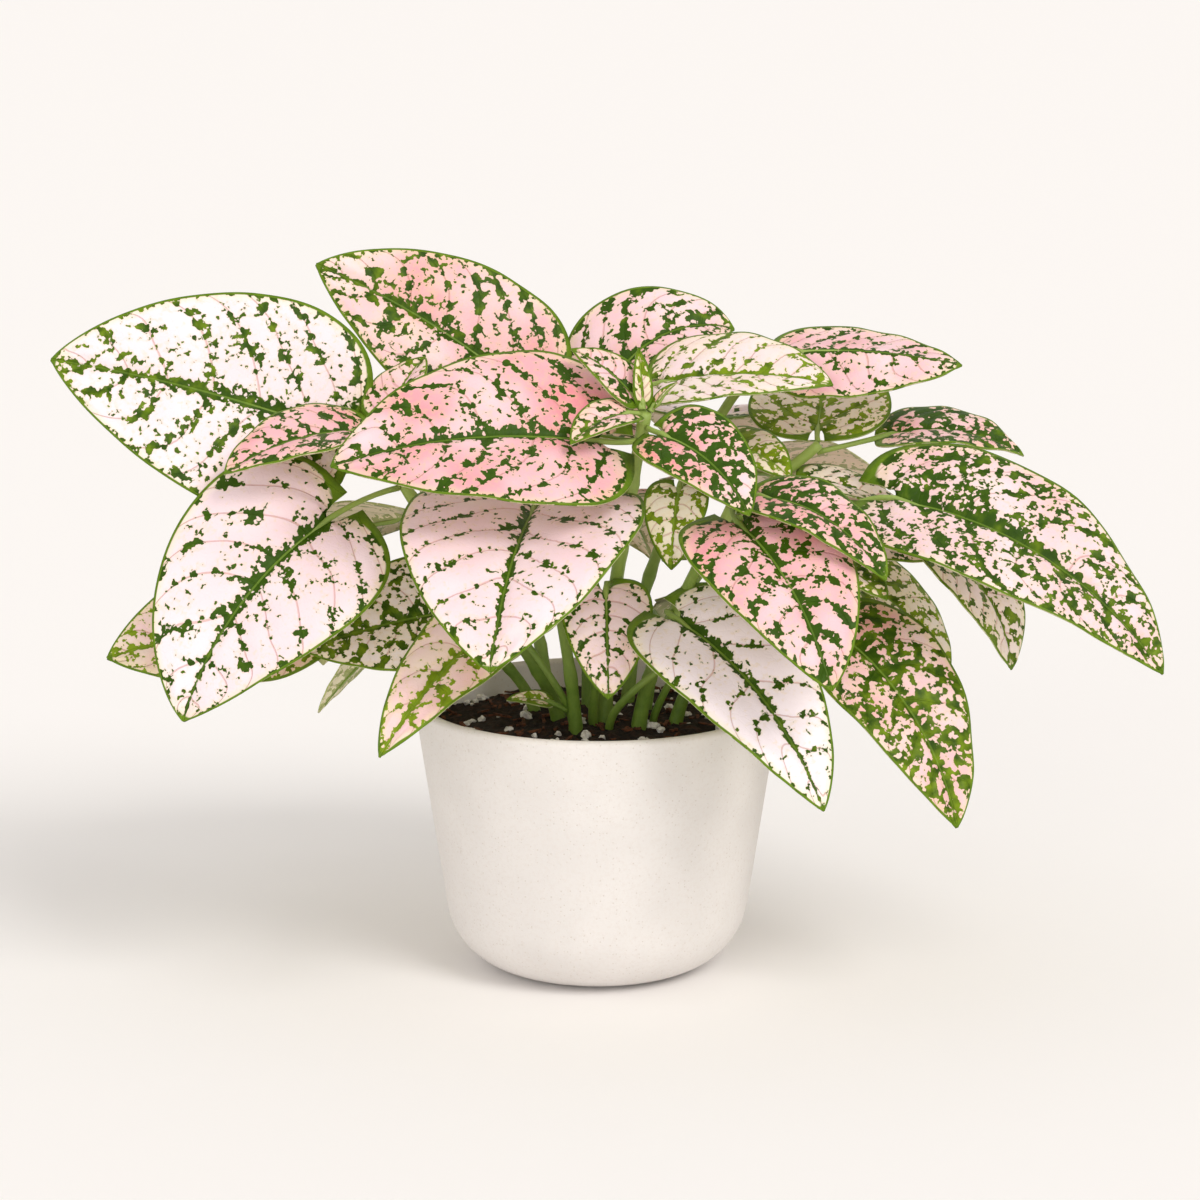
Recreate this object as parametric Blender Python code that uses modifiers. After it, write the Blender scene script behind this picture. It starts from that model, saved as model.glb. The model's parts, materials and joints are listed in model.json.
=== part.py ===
"""A potted polka dot plant: a turned ceramic pot full of soil, with ten stems and their leaves.

Metres, +Z up. The origin is the centre of the pot's underside and -Y is the plant's front.
"""

import math
from collections import namedtuple

import bmesh
import bpy
from mathutils import Vector

MM = 0.001
GAP = 0.35  # clearance between touching pieces, mm

# The pot, mm
POT_HEIGHT = 78.0
POT_RADIUS = 52.6  # outside, at the rim
POT_TAPER = 8.6  # degrees that the wall leans out
POT_WALL = 3.2
POT_CORNER = 21.0  # outside rounding between the wall and the underside
POT_FLOOR = 5.0
TURN_STEPS = 36

# The soil, mm
SOIL_EDGE = 70.5  # height at the wall
SOIL_MOUND = 3.0  # how much higher the middle is

# Leaves, mm unless noted
LEAF_THICKNESS = 0.6
STALK_WIDTH = 1.6
LOBE = 0.13  # how far the base lobes reach behind the stalk, as a part of the blade's length
NOTCH = 0.035  # half the opening between the lobes, as a part of the blade's length
NECK = 0.8  # length of the stalk's last piece, where it widens into the blade
SHAPE_BASE = 0.32  # powers of the blade's outline at its base and at its tip
SHAPE_TIP = 0.82
SMALL_LEAF = 40.0  # a shorter blade gets a plainer mesh
STALK_STEPS = 3
LEAF_COLUMNS = 4
BLADE_STEPS = 24
BLADE_ROWS = (0, 2, 5, 9, 14, 19, 24)
SMALL_BLADE_ROWS = (0, 2, 6, 12, 18, 24)

STEM_TAPER = 0.25  # part of a stem's radius that is lost by its tip
ROUTE_STEPS = 3  # straight pieces between two points of a stem's route

# Each stem: its radius, then its route from its foot in the soil to its tip, mm
STEMS = {
    "stem_left": (2.0, (-9, -2, 58), (-14, -5, 82), (-36, -14, 118), (-54, -20, 144), (-61, -20, 160)),
    "stem_low_left": (1.6, (-15, 5, 58), (-21, 4, 80), (-42, 0, 102), (-62, -4, 112)),
    "stem_front": (1.8, (-5, -14, 58), (-7, -18, 85), (-11, -27, 115), (-13, -34, 141)),
    "stem_top": (2.0, (-2, 8, 58), (-3, 12, 100), (-4, 11, 140), (-4, 8, 160)),
    "stem_center": (2.2, (2, -5, 58), (3, -9, 95), (8, -28, 135), (13, -40, 167)),
    "stem_right_front": (2.0, (10, -12, 58), (14, -16, 85), (25, -28, 116), (37, -42, 142)),
    "stem_right": (2.0, (11, 4, 58), (19, 7, 95), (42, 10, 130), (63, 8, 150)),
    "stem_right_low": (1.8, (19, -4, 58), (27, -7, 85), (48, -14, 112), (65, -20, 130)),
    "stem_back_left": (1.8, (-12, 15, 58), (-18, 22, 95), (-34, 42, 134)),
    "stem_back_right": (1.8, (7, 17, 58), (14, 22, 105), (32, 20, 150), (48, 12, 176)),
}

Leaf = namedtuple(
    "Leaf", "stem at toward climb stalk heading rise fall length width roll fold"
)
# Each leaf: its stem and how far up it; the stalk's heading and climb at the stem, and its length;
# the blade's heading, its slope at the base and at the tip, its length and width; and how far the
# blade is rolled about its midrib and its two halves are folded up. Headings are degrees from +X
# toward +Y, slopes are degrees above level, lengths are mm.
LEAVES = {
    "leaf_far_left": ("stem_left", 1.0, 148, -26, 14, 181, 20, 9, 78, 64, -66, 12),
    "leaf_left_front": ("stem_left", .85, 222, -3, 24, 210, -27, -71, 70, 59, -45, 12),
    "leaf_left_inner": ("stem_left", .99, 240, 20, 6, 208, 5, -30, 42, 30, -15, 15),
    "leaf_left_young": ("stem_left", 1.0, 40, 50, 3, 60, 45, 25, 24, 20, 0, 30),
    "leaf_left_low": ("stem_low_left", 1.0, 190, -8, 20, 190, -12, -15, 58, 44, -50, 12),
    "leaf_left_under": ("stem_left", .50, 240, -20, 8, 195, -5, -18, 46, 38, -48, 12),
    "leaf_left_tucked": ("stem_low_left", .78, 230, 0, 11, 210, -30, -50, 35, 24, 45, 12),
    "leaf_low_left": ("stem_front", .68, 222, 10, 10, 231, -12, -43, 70, 29, -20, 12),
    "leaf_center_front": ("stem_front", 1.0, 200, 10, 4, 259, -8, -52, 68, 68, 0, 14),
    "leaf_center_low": ("stem_center", .52, 240, 20, 6, 272, -35, -75, 33, 26, 0, 12),
    "leaf_low_white": ("stem_right_front", .57, 240, 25, 14, 313, -15, -60, 73, 40, 24, 12),
    "leaf_right_front": ("stem_right_front", 1.0, 265, -20, 8, 300, -15, -62, 61, 44, 15, 12),
    "leaf_right_shoulder": ("stem_right_front", 1.0, 325, 50, 8, 320, 5, -50, 48, 25, 15, 12),
    "leaf_low_right": ("stem_right_low", .72, 330, -15, 23, 320, -25, -75, 66, 40, 20, 12),
    "leaf_right_behind": ("stem_right", .60, 345, 10, 36, 350, -20, -60, 42, 32, 20, 12),
    "leaf_right_wedge": ("stem_right_low", .88, 270, 20, 8, 322, 0, -40, 26, 20, 10, 12),
    "leaf_far_right": ("stem_right_low", 1.0, 352, 58, 22, 339, -5, -54, 91, 50, 30, 14),
    "leaf_right_hidden": ("stem_right_low", .95, 40, 20, 38, 335, -30, -85, 40, 34, 10, 12),
    "leaf_right_crest": ("stem_right", .98, 15, 10, 22, 352, 16, -32, 39, 30, 12, 12),
    "leaf_top_right": ("stem_back_right", 1.0, 330, 30, 6, 350, 5, -12, 49, 38, 30, -30),
    "leaf_top_pale": ("stem_top", 1.0, 318, 30, 26, 345, 15, -12, 49, 42, 20, 16),
    "leaf_top_left": ("stem_top", 1.0, 190, 5, 17, 174, 39, 22, 68, 50, -55, 14),
    "leaf_top_mid": ("stem_top", .97, 50, 30, 12, 15, 62, -18, 43, 41, 40, 14),
    "leaf_top_center": ("stem_center", .93, 228, 0, 11.5, 191, 10, -17, 74, 58, -38, 14),
    "leaf_apex_left": ("stem_center", 1.0, 218, 15, 4, 222, 5, -38, 22, 15, -20, 20),
    "leaf_apex_back": ("stem_center", 1.0, 125, 60, 4, 165, 50, 20, 22, 15, -30, 20),
    "leaf_apex_right": ("stem_center", .97, 305, -10, 6, 322, -8, -58, 36, 29, 25, 16),
    "leaf_mid_oval": ("stem_right", .70, 235, 15, 11, 350, 15, -30, 24, 20, 30, 12),
    "leaf_mid_green": ("stem_back_right", .70, 265, 35, 17, 315, 10, -35, 30, 20, 20, 12),
    "leaf_right_erect": ("stem_right", 1.0, 95, 25, 5, 82, 30, 15, 40, 42, 0, 12),
    "leaf_right_shade": ("stem_right", .88, 310, 0, 8, 5, -5, -40, 34, 24, 10, 12),
    "leaf_right_mid": ("stem_right", .72, 350, 0, 12, 355, -3, -22, 48, 28, 30, 12),
    "leaf_center_back": ("stem_back_right", .66, 250, 10, 12, 260, -30, -85, 26, 19, 0, 12),
    "leaf_soil_right": ("stem_right_low", .42, 275, 0, 4, 292, -20, -50, 20, 18, 20, 12),
    "leaf_mid_left": ("stem_left", .74, 320, 10, 4, 340, 0, -35, 26, 24, 30, 12),
    "leaf_back_left_far": ("stem_back_left", 1.0, 160, 20, 12, 155, 12, -40, 78, 52, 25, 12),
    "leaf_back_left_near": ("stem_back_left", .95, 70, 0, 12, 90, -12, -58, 74, 50, 0, 12),
    "leaf_back_left_low": ("stem_back_left", .5, 130, 0, 10, 125, -25, -65, 62, 44, 15, 12),
    "leaf_back_right_far": ("stem_back_right", .64, 60, 10, 12, 42, 0, -48, 78, 52, -20, 12),
    "leaf_back_right_near": ("stem_back_right", .78, 100, 10, 10, 85, 0, -55, 74, 50, 0, 12),
    "leaf_back_right_low": ("stem_back_right", .32, 75, 10, 10, 75, -20, -62, 64, 46, -15, 12),
    "leaf_back_top": ("stem_top", .9, 90, 20, 12, 110, 10, -40, 76, 54, 20, 12),
    "leaf_back_mid": ("stem_top", .72, 80, 10, 10, 72, -5, -50, 66, 46, 0, 12),
    "leaf_right_back": ("stem_back_right", .45, 20, 0, 14, 20, -5, -50, 62, 44, -10, 12),
    "leaf_left_back": ("stem_left", .75, 110, -10, 10, 140, -10, -45, 60, 42, 15, 12),
    "leaf_low_back_left": ("stem_low_left", .9, 110, 0, 9, 120, -10, -60, 56, 40, 10, 12),
    "leaf_low_back_right": ("stem_right_low", .6, 40, 0, 10, 50, -15, -60, 56, 40, -10, 12),
}


def clear_scene():
    for item in list(bpy.data.objects):
        bpy.data.objects.remove(item)


def collection(name):
    group = bpy.data.collections.new(name)
    bpy.context.scene.collection.children.link(group)
    return group


def material(name, color, roughness):
    finish = bpy.data.materials.new(name)
    finish.use_nodes = True
    shader = finish.node_tree.nodes["Principled BSDF"]
    shader.inputs["Base Color"].default_value = (*color, 1)
    shader.inputs["Roughness"].default_value = roughness
    shader.inputs["Metallic"].default_value = 0
    finish.diffuse_color = (*color, 1)
    return finish


def add_object(name, data, group, finish=None):
    item = bpy.data.objects.new(name, data)
    group.objects.link(item)
    if finish:
        data.materials.append(finish)
    return item


def mix(first, last, part):
    return first + (last - first) * part


def arc(center, radius, first, last, steps):
    """Points (r, z) of an arc in the turning plane, with its end angles in degrees."""
    turns = [math.radians(mix(first, last, step / steps)) for step in range(steps + 1)]
    return [(center[0] + radius * math.cos(a), center[1] + radius * math.sin(a)) for a in turns]


def wall_radius(height):
    """The pot's outside radius at a height, had it no rounded corner."""
    return POT_RADIUS - (POT_HEIGHT - height) * math.tan(math.radians(POT_TAPER))


def wall_and_floor(inset, floor, top):
    """Points up a wall that lies inset from the pot's outside, from its flat floor to a height."""
    corner = POT_CORNER - inset
    lean = math.radians(POT_TAPER)
    center_z = floor + corner
    center_r = wall_radius(center_z) - (inset + corner) / math.cos(lean)
    rounding = arc((center_r, center_z), corner, -90, -POT_TAPER, 5)
    return [(0, floor)] + rounding + [(wall_radius(top) - inset / math.cos(lean), top)]


def turned(name, profile, group, finish=None):
    """A solid of revolution. The profile ends on the axis twice and runs down its outer side."""
    mesh = bpy.data.meshes.new(name)
    edges = [(i, i + 1) for i in range(len(profile) - 1)]
    mesh.from_pydata([(r * MM, 0, z * MM) for r, z in profile], edges, [])
    item = add_object(name, mesh, group, finish)
    screw = item.modifiers.new("Screw", "SCREW")
    screw.steps = screw.render_steps = TURN_STEPS
    screw.use_merge_vertices = True
    screw.merge_threshold = 0.00001
    screw.use_smooth_shade = True
    return item


def make_pot(group):
    lip = POT_WALL / 2
    lip_z = POT_HEIGHT - lip
    inside = wall_and_floor(POT_WALL, POT_FLOOR, lip_z)
    outside = wall_and_floor(0, 0, lip_z)
    rim = arc((outside[-1][0] - lip, lip_z), lip, 150, 30, 4)
    finish = material("ivory_ware", (0.80, 0.76, 0.70), 0.55)
    return turned("pot", inside + rim + outside[::-1], group, finish)


def soil_height(radius):
    """The soil's top, mounded in the middle."""
    edge = wall_radius(SOIL_EDGE) - POT_WALL
    return SOIL_EDGE + SOIL_MOUND * (1 - (radius / edge) ** 2)


def make_soil(group, cutters):
    below = wall_and_floor(POT_WALL + GAP, POT_FLOOR + GAP, SOIL_EDGE)
    edge = below[-1][0]
    top = [(edge * part, soil_height(edge * part)) for part in (0, 0.35, 0.7)]
    finish = material("potting_soil", (0.035, 0.022, 0.015), 0.95)
    soil = turned("soil", top + below[::-1], group, finish)
    sockets = soil.modifiers.new("Stem sockets", "BOOLEAN")
    sockets.operand_type = "COLLECTION"
    sockets.collection = cutters
    sockets.operation = "DIFFERENCE"
    sockets.solver = "EXACT"
    return soil


def smooth_route(points):
    """Points along a smooth curve through a stem's route (Catmull-Rom)."""
    knots = [Vector(point) for point in points]
    knots = [2 * knots[0] - knots[1], *knots, 2 * knots[-1] - knots[-2]]
    route = []
    for a, b, c, d in zip(knots, knots[1:], knots[2:], knots[3:]):
        for step in range(ROUTE_STEPS):
            t = step / ROUTE_STEPS
            bend = (c - a) * t + (2 * a - 5 * b + 4 * c - d) * t**2 + (3 * b - a - 3 * c + d) * t**3
            route.append(b + 0.5 * bend)
    return route + [knots[-2]]


def stem_curve(name, grown, group, finish=None):
    """A stem as a tapering tube, or as its socket when it is grown by the clearance."""
    radius, *points = STEMS[name]
    route = smooth_route(points)
    curve = bpy.data.curves.new(name, "CURVE")
    curve.dimensions = "3D"
    curve.bevel_depth = (radius + grown) * MM
    curve.bevel_resolution = 2
    curve.use_fill_caps = True
    spline = curve.splines.new("POLY")
    spline.points.add(len(route) - 1)
    for index, point in enumerate(route):
        spline.points[index].co = (*(point * MM), 1)
        spline.points[index].radius = 1 if grown else 1 - STEM_TAPER * index / (len(route) - 1)
    if grown:
        foot = route[0] + (route[0] - route[1]).normalized() * grown
        spline.points[0].co = (*(foot * MM), 1)
    return add_object(name, curve, group, finish)


def mesh_of(tube, group):
    """The tube as a mesh object with its caps welded, in place of the curve."""
    bpy.context.view_layer.update()
    evaluated = tube.evaluated_get(bpy.context.evaluated_depsgraph_get())
    mesh = bpy.data.meshes.new_from_object(evaluated)
    shape = bmesh.new()
    shape.from_mesh(mesh)
    bmesh.ops.remove_doubles(shape, verts=shape.verts, dist=0.00001)
    shape.to_mesh(mesh)
    shape.free()
    item = add_object(tube.name + "_socket", mesh, group)
    item.matrix_world = tube.matrix_world
    bpy.data.objects.remove(tube)
    item.hide_render = True
    item.display_type = "WIRE"
    return item


def direction(climb, heading):
    climb, heading = math.radians(climb), math.radians(heading)
    level = math.cos(climb)
    return Vector((level * math.cos(heading), level * math.sin(heading), math.sin(climb)))


def stem_place(name, part):
    """The point at a part of a stem's length, the stem's direction there and its radius."""
    radius, *points = STEMS[name]
    route = smooth_route(points)
    lengths = [(b - a).length for a, b in zip(route, route[1:])]
    left = part * sum(lengths)
    piece = 0
    while piece < len(lengths) - 1 and left > lengths[piece]:
        left -= lengths[piece]
        piece += 1
    place = route[piece].lerp(route[piece + 1], left / lengths[piece])
    growth = (route[piece + 1] - route[piece]).normalized()
    return place, growth, radius * (1 - STEM_TAPER * part)


def walk(start, length, climbs, headings, steps):
    """Points, climbs and headings along a line that bends evenly from the first to the last."""
    point = start.copy()
    path = [(point.copy(), climbs[0], headings[0])]
    for step in range(steps):
        middle, end = (step + 0.5) / steps, (step + 1) / steps
        point += direction(mix(*climbs, middle), mix(*headings, middle)) * (length / steps)
        path.append((point.copy(), mix(*climbs, end), mix(*headings, end)))
    return path


def outline(part):
    """The blade's half width at a part of its length, from 0 to 1."""
    widest = SHAPE_BASE / (SHAPE_BASE + SHAPE_TIP)
    peak = widest**SHAPE_BASE * (1 - widest) ** SHAPE_TIP
    return part**SHAPE_BASE * (1 - part) ** SHAPE_TIP / peak


def leaf_rows(leaf):
    """The leaf's cross rows from the stem to the tip, each a function of a place across it."""
    start, growth, radius = stem_place(leaf.stem, leaf.at)
    leaving = direction(leaf.climb, leaf.toward)
    outward = (leaving - growth * leaving.dot(growth)).normalized()
    start += outward * (radius + GAP)
    turn = (leaf.heading - leaf.toward + 180) % 360 - 180
    headings = (leaf.toward, leaf.toward + turn)
    stalk = walk(start, leaf.stalk, (leaf.climb, leaf.rise), headings, STALK_STEPS)
    blade = walk(stalk[-1][0], leaf.length, (leaf.rise, leaf.fall), headings[1:] * 2, BLADE_STEPS)
    chosen = BLADE_ROWS if leaf.length >= SMALL_LEAF else SMALL_BLADE_ROWS
    neck = stalk[-1][0] - direction(leaf.rise, leaf.heading) * NECK
    rows = [(*place, None) for place in stalk[:-1]] + [(neck, *stalk[-1][1:], None)]
    return rows + [(*blade[index], index / BLADE_STEPS) for index in chosen]


def leaf_point(leaf, row, across):
    """The place on the leaf at a row and at a part of the half width, from -1 to 1."""
    point, climb, heading, part = row
    along = direction(climb, heading)
    side = Vector((-math.sin(math.radians(heading)), math.cos(math.radians(heading)), 0))
    face = along.cross(side)
    roll, fold = math.radians(leaf.roll), math.radians(leaf.fold)
    side, face = (
        side * math.cos(roll) + face * math.sin(roll),
        face * math.cos(roll) - side * math.sin(roll),
    )
    if part is None:
        return point + side * across * STALK_WIDTH / 2
    least = STALK_WIDTH / 2 + leaf.length * NOTCH * (1 - part) ** 8
    half = max(leaf.width / 2 * outline(part), least)
    lift = math.sin(fold) * (abs(across) - across**2 / 2)
    back = leaf.length * LOBE * across**4 * (1 - part) ** 2
    return point + (side * across * math.cos(fold) + face * lift) * half - along * back


def make_leaf(name, leaf, group, finish):
    rows = leaf_rows(leaf)
    shape = bmesh.new()
    bmesh.ops.create_grid(shape, x_segments=LEAF_COLUMNS, y_segments=len(rows) - 1, size=1)
    for vertex in shape.verts:
        row = rows[round((vertex.co.y + 1) / 2 * (len(rows) - 1))]
        vertex.co = leaf_point(leaf, row, -vertex.co.x) * MM
    mesh = bpy.data.meshes.new(name)
    shape.to_mesh(mesh)
    shape.free()
    item = add_object(name, mesh, group, finish)
    skin = item.modifiers.new("Thickness", "SOLIDIFY")
    skin.thickness = LEAF_THICKNESS * MM
    skin.offset = 0
    return item


def main():
    clear_scene()
    plant = collection("polka_dot_plant")
    cutters = collection("cutters")
    for name in STEMS:
        stem_green = material(name + "_green", (0.28, 0.40, 0.10), 0.5)
        stem_curve(name, 0, plant, stem_green)
        mesh_of(stem_curve(name, GAP, cutters), cutters)
    make_pot(plant)
    make_soil(plant, cutters)
    for name, values in LEAVES.items():
        leaf_pink = material(name + "_pink", (0.85, 0.55, 0.52), 0.45)
        make_leaf(name, Leaf(*values), plant, leaf_pink)


main()
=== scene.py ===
"""The looks of a potted polka dot plant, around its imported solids: leaves, stems, soil and pot.

Lengths are millimetres until a mesh is finished, and metres in the scene. +Z is up, -Y the front.
"""

import json
import math
import random
from collections import namedtuple

import bmesh
import bpy
from mathutils import Matrix, Vector, noise


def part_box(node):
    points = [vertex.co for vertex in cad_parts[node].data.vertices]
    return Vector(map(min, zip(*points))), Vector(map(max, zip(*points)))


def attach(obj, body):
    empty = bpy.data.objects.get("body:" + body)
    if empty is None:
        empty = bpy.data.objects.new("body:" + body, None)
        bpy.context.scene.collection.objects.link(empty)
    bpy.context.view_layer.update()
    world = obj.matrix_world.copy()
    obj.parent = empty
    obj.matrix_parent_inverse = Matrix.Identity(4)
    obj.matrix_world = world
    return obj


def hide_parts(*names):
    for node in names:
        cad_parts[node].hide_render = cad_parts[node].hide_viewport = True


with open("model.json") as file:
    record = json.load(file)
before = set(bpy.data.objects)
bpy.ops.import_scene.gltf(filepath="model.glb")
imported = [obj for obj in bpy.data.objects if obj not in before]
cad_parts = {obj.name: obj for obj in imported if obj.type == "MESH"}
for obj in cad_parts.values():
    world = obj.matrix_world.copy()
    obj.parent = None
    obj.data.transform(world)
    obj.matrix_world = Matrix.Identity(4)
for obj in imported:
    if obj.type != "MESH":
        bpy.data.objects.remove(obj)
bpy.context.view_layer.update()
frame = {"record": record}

MM = 0.001
GAP = 0.35  # clearance between a stalk and its stem
random.seed(7)

# The pot and the soil
POT_RADIUS, POT_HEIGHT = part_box("pot")[1].x / MM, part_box("pot")[1].z / MM
POT_TAPER = 8.6  # degrees that the wall leans out
POT_WALL = 3.2
POT_CORNER = 21.0  # outside rounding between the wall and the underside
POT_FLOOR = 5.0
POT_TURNS = 160  # steps round the pot
SOIL_EDGE = 70.5  # height at the wall
SOIL_MOUND = 3.0  # how much higher the middle is
SOIL_SINK = 0.6  # how far the rough top is lowered, so that it doesn't stand above the mound
SOIL_RINGS, SOIL_SPOKES = 56, 220
PERLITE_COUNT, BARK_COUNT = 120, 150
FOOT_CLEARANCE = 3.5  # from a stem's axis to the nearest loose bit

# Leaves
LEAF_THICKNESS = 0.4
STALK_WIDTH = 1.6
LOBE = 0.13  # how far the base lobes reach behind the stalk, as a part of the blade's length
NOTCH = 0.035  # half the opening between the lobes, as a part of the blade's length
SHAPE_BASE = 0.32  # powers of the blade's outline at its base and at its tip
SHAPE_TIP = 0.82
FULL_LEAF = 72.0  # length at which a leaf's quilting has its full height
SMALL_LEAF = 30.0  # a leaf no longer than this gets half the rows and columns
ROWS, COLUMNS = 60, 38
STALK_STEPS, SPINE_STEPS, RIB_STEPS = 6, 24, 12
VEIN_PITCH = 0.165  # between side veins, as a part of the blade's length
VEIN_LEAN = 0.46  # how far forward a side vein runs for each step away from the midrib
VEIN_SWEEP = 0.15  # how much further forward it bends at the margin, as a part of the length
SEED_STRIDE = 40.0  # keeps one leaf's noise clear of the next leaf's
YOUNG_SEED = 81.0  # the first seed of the smallest leaves

# A full-grown leaf's relief: between side veins, over the midrib, along the margin, all over
QUILT, GROOVE, RIPPLE, DIMPLE = 0.85, 0.8, 2.0, 0.5

# Stems and shoots
STEM_TAPER = 0.25  # part of a stem's radius that is lost by its tip
ROUTE_STEPS = 3  # straight pieces between two points of a stem's route
STEM_RINGS = 12  # rings between two points of a stem's route on the fine tube
STEM_SIDES, SHOOT_SIDES, STALK_SIDES = 14, 12, 10
JOINT_PITCH = 21.0  # from one joint of a stem to the next
FIRST_JOINT = 10.0  # above the foot
JOINT_REACH, JOINT_SWELLING = 2.2, 0.22  # how far a joint swells the stem, along it and outwards
FOOT_REACH, FOOT_FLARE = 16.0, 0.45  # the same for the stem's foot
SHOOT_TAPER = 0.3  # part of a shoot's radius that is lost by its tip

# The camera: metres, and degrees below level
CAMERA_PLACE = (0.0008, -1.110, 0.3485)
CAMERA_PITCH = 12.3
CAMERA_LENS, CAMERA_SENSOR = 120, 36  # mm

# Each stem: its radius, then its route from its foot in the soil to its tip
STEMS = {
    "stem_left": (
        2.0, (-9, -2, 58), (-14, -5, 82), (-36, -14, 118), (-54, -20, 144), (-61, -20, 160)
    ),
    "stem_low_left": (1.6, (-15, 5, 58), (-21, 4, 80), (-42, 0, 102), (-62, -4, 112)),
    "stem_front": (1.8, (-5, -14, 58), (-7, -18, 85), (-11, -27, 115), (-13, -34, 141)),
    "stem_top": (2.0, (-2, 8, 58), (-3, 12, 100), (-4, 11, 140), (-4, 8, 160)),
    "stem_center": (2.2, (2, -5, 58), (3, -9, 95), (8, -28, 135), (13, -40, 167)),
    "stem_right_front": (2.0, (10, -12, 58), (14, -16, 85), (25, -28, 116), (37, -42, 142)),
    "stem_right": (2.0, (11, 4, 58), (19, 7, 95), (42, 10, 130), (63, 8, 150)),
    "stem_right_low": (1.8, (19, -4, 58), (27, -7, 85), (48, -14, 112), (65, -20, 130)),
    "stem_back_left": (1.8, (-12, 15, 58), (-18, 22, 95), (-34, 42, 134)),
    "stem_back_right": (1.8, (7, 17, 58), (14, 22, 105), (32, 20, 150), (48, 12, 176)),
}

Leaf = namedtuple(
    "Leaf", "stem at toward climb stalk heading rise fall length width roll fold"
)
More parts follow.
